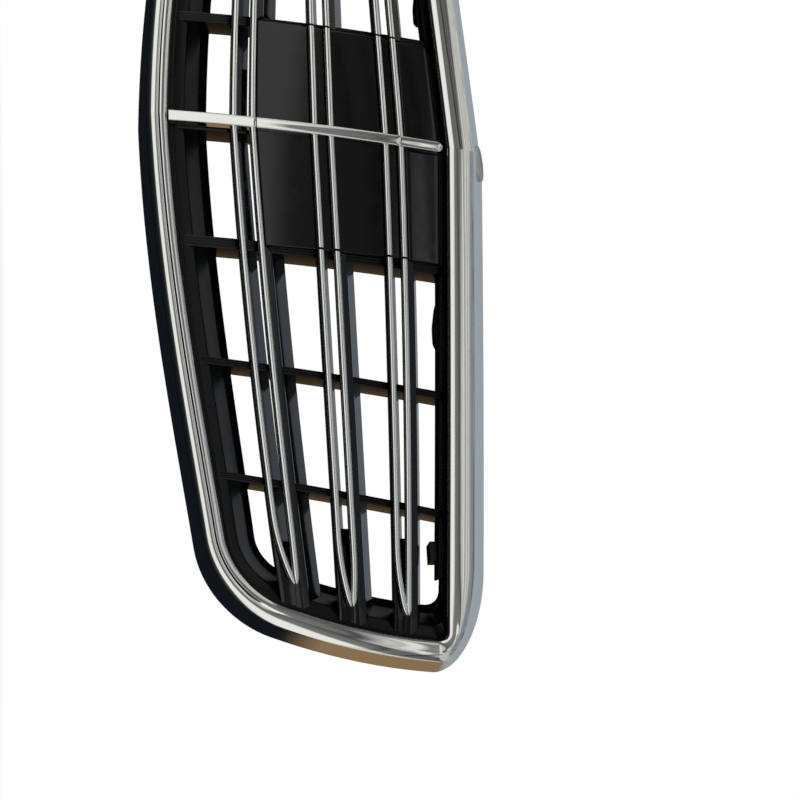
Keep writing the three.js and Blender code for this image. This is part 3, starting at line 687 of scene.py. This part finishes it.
FLANGE_THICK = 2.3
flange_section = [(-SHELF_TOP - 0.1, 13.6), (-SHELF_TOP - 1.6, 29), (-SHELF_TOP - 2.4 - FLANGE_THICK, 28.6),
                  (-SHELF_TOP - 0.9 - FLANGE_THICK, 13.6)]
flange_slot = sweep([[at(x, d, opening_top(x) + w) for w, d in flange_section] for x in spread(-340, 340, 64)])


def rib(middle, fan, half_width, low, high):
    w, f = half_width, RIB_FRONT
    outline = [(-w, RIB_BACK), (-w, f + 0.6)]
    for groove in (-0.5, 0, 0.5):
        c = groove * w
        outline += [(c - 0.16 * w, f), (c - 0.05 * w, f + 0.7), (c + 0.05 * w, f + 0.7), (c + 0.16 * w, f)]
    outline += [(w, f + 0.6), (w, RIB_BACK)]
    section = eased(outline, 0.25, 2)
    rings = [[at(middle + fan * z + s, d, z) for s, d in section] for z in spread(low, high, 48)]
    upright = combine(combine(sweep(rings), trimmer, "DIFFERENCE"), flange_slot, "DIFFERENCE")
    for body in bodies:
        upright = combine(upright, body, "DIFFERENCE")
    return upright


RIBS = {"rib_1": (95, 0.02, 4.25), "rib_2": (189.5, 0.075, 2.8), "rib_3": (276.5, 0.12, 2.8)}
for name, (middle, fan, half_width) in RIBS.items():
    foot = opening_bottom(middle - 12) + 2
    upright = rib(middle, fan, half_width, foot, opening_top(middle) - 1)
    for side, sign in SIDES.items():
        piece = upright.copy() if sign > 0 else mirrored(upright)
        finish(piece, f"grooved_{name}_{side}", SATIN, [f"{name}_{side}"])

centre_rib = rib(0, 0, 6, -HALF + 4, -44.5)
finish(centre_rib, "grooved_rib_centre", SATIN, ["rib_centre"])

# %% [markdown]
# ## The sensor cover
# The cover is a thin polished panel with nothing metal in front of the sensor's view but its
# fine strips. A separate narrow plate closes the gap above it. Both are swept across the
# width, with soft edges and a fold on the centre line.

# %% Cover and top plate
COVER_FRONT, COVER_THICK = 5.9, 3.4


def cover_bottom(x):
    return blade_height(BLADES["lower"]["b"], x) + TRIM_WIDTH / 2 + 0.8


def cover_split(x):
    return blade_height(BLADES["upper"]["b"], x) + TRIM_WIDTH / 2 + 1.2


def panel(low, high, front, thick, rows):
    """A thin panel between two heights, whose edges and ends are rounded."""
    rings = []
    ends = [(0, 0.9), (0.25, 0.35), (0.7, 0.08), (1.3, 0)]
    reach = [(-COVER_HALF + inset, drop) for inset, drop in ends]
    reach += [(x, 0) for x in spread(-COVER_HALF + 4, 0, 24)] + [(x, 0) for x in spread(0, COVER_HALF - 4, 24)[1:]]
    reach += [(COVER_HALF - inset, drop) for inset, drop in reversed(ends)]
    for x, drop in reach:
        bottom, top = low(x), high(x)
        heights = [bottom + 1.2 + (top - bottom - 2.4) * t for t in spread(0, 1, rows)]
        face = [(bottom, 0.9), (bottom + 0.3, 0.3), (bottom + 0.7, 0.07)] + [(z, 0) for z in heights]
        face += [(top - 0.7, 0.07), (top - 0.3, 0.3), (top, 0.9)]
        back = [(z, thick) for z in [top, *reversed(heights), bottom]]
        rings.append([at(x, front + min(d + drop, thick - 0.4), z) for z, d in face]
                     + [at(x, front + d, z) for z, d in back])
    return sweep(rings)


cover = panel(cover_bottom, lambda x: cover_split(x) - 0.4, COVER_FRONT, COVER_THICK, 30)
finish(cover, "sensor_cover_panel", GLOSS, ["sensor_cover"])
top_plate = panel(cover_split, lambda x: opening_top(x) - 6, COVER_FRONT + 1.2, 2.2, 8)
finish(top_plate, "cover_top_panel", GLOSS, ["cover_top_plate"])

# %% Strips across the cover
for name in ("middle", "upper"):
    for key in ("a", "b"):
        reach = COVER_HALF - 0.6
        places = spread(-reach, 0, 24) + spread(0, reach, 24)[1:]
        blade = BLADES[name][key]
        strip = sweep([[at(x, d, blade_height(blade, x) + w) for w, d in STRIP] for x in places])
        finish(strip, f"cover_strip_{name}_{key}", CHROME, [f"cover_trim_{name}_{key}"])

# %% [markdown]
# ## The centre strip
# A rounded strip runs up the fold in three lengths, and ends in a blunt point at the top.

# %% Centre strip
CENTRE_HALF, CENTRE_FRONT = 4.5, STRIP_FRONT


def centre_strip(low, high, back, pointed=False):
    w, f = CENTRE_HALF, CENTRE_FRONT
    section = eased([
        (-w, back), (-w, f + 2.1), (-w * 0.72, f + 0.7), (0, f), (w * 0.72, f + 0.7), (w, f + 2.1), (w, back),
    ], [0.2, 1, 1.3, 2, 1.3, 1, 0.2], 5)
    heights = spread(low, high - (w if pointed else 0.4), 30)
    rounded = [(z, 1, 0) for z in heights]
    if pointed:
        rounded += [(high - w + w * math.sin(t), max(0.05, math.cos(t)), 1.6 * (1 - math.cos(t)))
                    for t in spread(0, math.pi / 2, 12)[1:]]
    else:
        rounded += [(high - 0.2, 0.97, 0.1), (high, 0.9, 0.35)]
    return sweep([[at(s * narrow, d + drop if d < back - 1 else d, z) for s, d in section]
                  for z, narrow, drop in rounded])


strip_back = COVER_FRONT - GAP
seam = blade_height(BLADES["upper"]["b"], 0)
lower_strip = centre_strip(opening_bottom(0) + 1.2, cover_bottom(0) - GAP, LIP_DEPTH - 0.3)
finish(lower_strip, "centre_strip_lower", CHROME, ["centre_trim_lower"])
cover_strip = centre_strip(cover_bottom(0), seam - GAP, strip_back)
finish(cover_strip, "centre_strip_cover", CHROME, ["centre_trim_cover"])
upper_strip = centre_strip(seam, opening_top(0) - 3.6, strip_back, pointed=True)
finish(upper_strip, "centre_strip_upper", CHROME, ["centre_trim_upper"])

# %% [markdown]
# ## Screws
# Eight pan-head screws hold the ring to the bezel from behind. Each is turned from a profile,
# and a cross recess is cut into its head.

# %% Screws
for number in range(1, 9):
    low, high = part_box(f"screw_{number}")
    middle_x = (low[0] + high[0]) / 2
    middle_z = (low[2] + high[2]) / 2
    x, z = middle_x / MM, middle_z / MM - LIFT
    seat = WEB_FRONT + WALL + GAP
    tilt = math.atan(LEAN_SLOPE + 2 * LEAN_CURVE * z / 200)
    fold = math.atan(math.copysign(PROW_SLOPE, x) + 2 * PROW_CURVE * x / 425)
    screw = turned([
        (0, -9.5), (0.4, -9.3), (1.15, -7.6), (1.5, -7), (1.15, -6.5), (1.5, -5.6), (1.15, -5.1),
        (1.5, -4.2), (1.15, -3.7), (1.5, -2.8), (1.15, -2.3), (1.5, -1.4), (1.3, -0.4), (1.5, 0), (3.7, 0),
        (3.8, 0.3), (3.7, 1.2), (3.1, 1.8), (2, 2.2), (0.8, 2.4), (0, 2.4),
    ], 32)
    for turn_angle in (0, math.pi / 2):
        bar = bmesh.new()
        bmesh.ops.create_cube(bar, size=1)
        bmesh.ops.scale(bar, vec=(4.2 * MM, 0.8 * MM, 2 * MM), verts=bar.verts)
        bmesh.ops.rotate(bar, matrix=Matrix.Rotation(turn_angle, 3, "Z"), verts=bar.verts)
        bmesh.ops.translate(bar, vec=(0, 0, 2.2 * MM), verts=bar.verts)
        screw = combine(screw, bar, "DIFFERENCE")
    place = Matrix.Translation(at(x, seat, z)) @ (
        Matrix.Rotation(fold, 4, "Z") @ Matrix.Rotation(-tilt, 4, "X") @ Matrix.Rotation(-math.pi / 2, 4, "X"))
    bmesh.ops.transform(screw, matrix=place, verts=screw.verts)
    finish(screw, f"pan_screw_{number}", ZINC, [f"screw_{number}"], sharp=50)

# %% Finishes on the CAD pieces that stay as they are
for node in ("mount_flange", "sensor_bracket"):
    thing = bpy.data.objects[node]
    thing.data.materials.clear()
    thing.data.materials.append(REAR)

# %% [markdown]
# ## Floor and light
# A pale floor, a pale world, and soft lights. The floor carries painted light: it glows faintly near the grille
# and brighter further off, so it fades into the white backdrop. Chrome shows only what it reflects, so
# the world that reflections see is banded, light over dark, as a bright yard would be.

# %% Floor
FLOOR = -0.3
BACK_LIGHT = 1.0
floor_mesh = bmesh.new()
bmesh.ops.create_grid(floor_mesh, x_segments=1, y_segments=1, size=14)
bmesh.ops.translate(floor_mesh, vec=(0, 0, FLOOR), verts=floor_mesh.verts)
floor_data = bpy.data.meshes.new("floor")
floor_mesh.to_mesh(floor_data)
floor_mesh.free()
floor = bpy.data.objects.new("floor", floor_data)
bpy.context.collection.objects.link(floor)
pale, tree, shader, place = surface("pale_floor", "#F4F4F3", Roughness=0.9)
# Painted light: the floor's emission is dim near the grille and grows with distance, so the floor fades into the
# white backdrop.
away = add(tree, "ShaderNodeVectorMath", {0: place}, operation="LENGTH")
painted_floor_glow = add(tree, "ShaderNodeMapRange", {"Value": away.outputs["Value"]}, interpolation_type="SMOOTHSTEP",
           From_Min=0.5, From_Max=2.4, To_Min=0.15, To_Max=BACK_LIGHT)
tree.links.new(painted_floor_glow.outputs["Result"], shader.inputs["Emission Strength"])
shader.inputs["Emission Color"].default_value = linear("#FFFFFF")
floor_data.materials.append(pale)
floor.visible_glossy = False
floor.visible_diffuse = False

# %% World
# Elevation bands, from straight down to straight up, as the plating reflects them.
BANDS = [(0, "#0C1014"), (0.36, "#171C22"), (0.44, "#2A2B2C"), (0.475, "#5A5650"), (0.485, "#0E1014"),
         (0.51, "#1A1D22"), (0.53, "#E2E2DF"), (0.6, "#F4F4F2"), (0.735, "#F2F2EF"), (0.755, "#7B7B7A"),
         (0.835, "#6C6D6E"), (0.852, "#E9E9E4"), (0.925, "#E4E5E1"), (0.95, "#A2ABB3"), (1, "#98A1AA")]
# Behind the grille: a dark ground, a low tan wall and a grey-blue sky.
BEHIND = [(0, "#12171C"), (0.475, "#12171C"), (0.5, "#8C7355"), (0.62, "#8C7355"), (0.65, "#98A0A8"),
          (1, "#A3ACB4")]
SLAT = 0.115

world = bpy.data.worlds.new("studio")
bpy.context.scene.world = world
world.use_nodes = True
tree = world.node_tree
behind = tree.nodes["Background"]
direction = add(tree, "ShaderNodeTexCoord").outputs["Generated"]
split = add(tree, "ShaderNodeSeparateXYZ", {"Vector": direction})


def number(operation, *values):
    """Adds a Math node whose inputs are numbers or other nodes' outputs."""
    node = add(tree, "ShaderNodeMath", operation=operation)
    for socket, value in zip(node.inputs, values):
        if isinstance(value, (int, float)):
            socket.default_value = value
        else:
            tree.links.new(value, socket)
    return node.outputs[0]


def banded(bands):
    """A colour ramp from straight down to straight up."""
    ramp = add(tree, "ShaderNodeValToRGB", {"Fac": number("MULTIPLY_ADD", split.outputs["Z"], 0.5, 0.5)})
    elements = ramp.color_ramp.elements
    elements[0].position, elements[0].color = bands[0][0], linear(bands[0][1])
    elements[1].position, elements[1].color = bands[-1][0], linear(bands[-1][1])
    for position, colour in bands[1:-1]:
        elements.new(position).color = linear(colour)
    return ramp.outputs["Color"]


# A slatted wall in front of the grille: its level slats draw the fine lines along the ring.
frontal = number("MAXIMUM", number("MULTIPLY", split.outputs["Y"], -1), 0.1)
height = number("DIVIDE", split.outputs["Z"], frontal)
sweep_wave = number("SINE", number("MULTIPLY", height, math.tau / SLAT))
wander = number("SINE", number("MULTIPLY", height, math.tau / SLAT * 0.377))
mixed = number("ADD", sweep_wave, number("MULTIPLY", wander, 0.8))
grey = add(tree, "ShaderNodeMapRange", {"Value": mixed}, From_Min=-1.0, From_Max=0.7, To_Min=0.13, To_Max=1)
area = add(tree, "ShaderNodeMapRange", {"Value": height}, interpolation_type="SMOOTHSTEP",
           From_Min=0.8, From_Max=0.95, To_Min=0, To_Max=0.85)
stripe = add(tree, "ShaderNodeMixRGB", {"Fac": area.outputs["Result"], "Color1": banded(BANDS),
                                        "Color2": grey.outputs["Result"]}, blend_type="MULTIPLY")
rear = add(tree, "ShaderNodeMapRange", {"Value": split.outputs["Y"]}, interpolation_type="SMOOTHSTEP",
           From_Min=0.15, From_Max=0.45)
yard = add(tree, "ShaderNodeMixRGB", {"Fac": rear.outputs["Result"], "Color1": stripe.outputs["Color"],
                                      "Color2": banded(BEHIND)})
rays = add(tree, "ShaderNodeLightPath")
tree.links.new(add(tree, "ShaderNodeMixRGB", {
    "Fac": rays.outputs["Is Camera Ray"], "Color1": yard.outputs["Color"],
}, Color2=linear("#FFFFFF")).outputs["Color"], behind.inputs["Color"])
strength = number("MULTIPLY_ADD", rays.outputs["Is Camera Ray"], BACK_LIGHT - 1.0, 1.0)
tree.links.new(strength, behind.inputs["Strength"])


# %% Lights
def soft_box(name, place, size, energy):
    data = bpy.data.lights.new(name, "AREA")
    data.shape = "RECTANGLE"
    data.size, data.size_y = size
    data.energy = energy
    lamp = bpy.data.objects.new(name, data)
    bpy.context.collection.objects.link(lamp)
    lamp.location = place
    lamp.visible_glossy = False
    lamp.rotation_euler = (-Vector(place)).to_track_quat("-Z", "Y").to_euler()
    return lamp


soft_box("over_front", (0.5, -1.6, 2.0), (1.6, 1.0), 20)
soft_box("right_side", (2.2, -1.0, 0.6), (0.8, 1.4), 8)
# Without a film-like curve, white stays white and black plastic stays deep.
bpy.context.scene.view_settings.view_transform = "Standard"
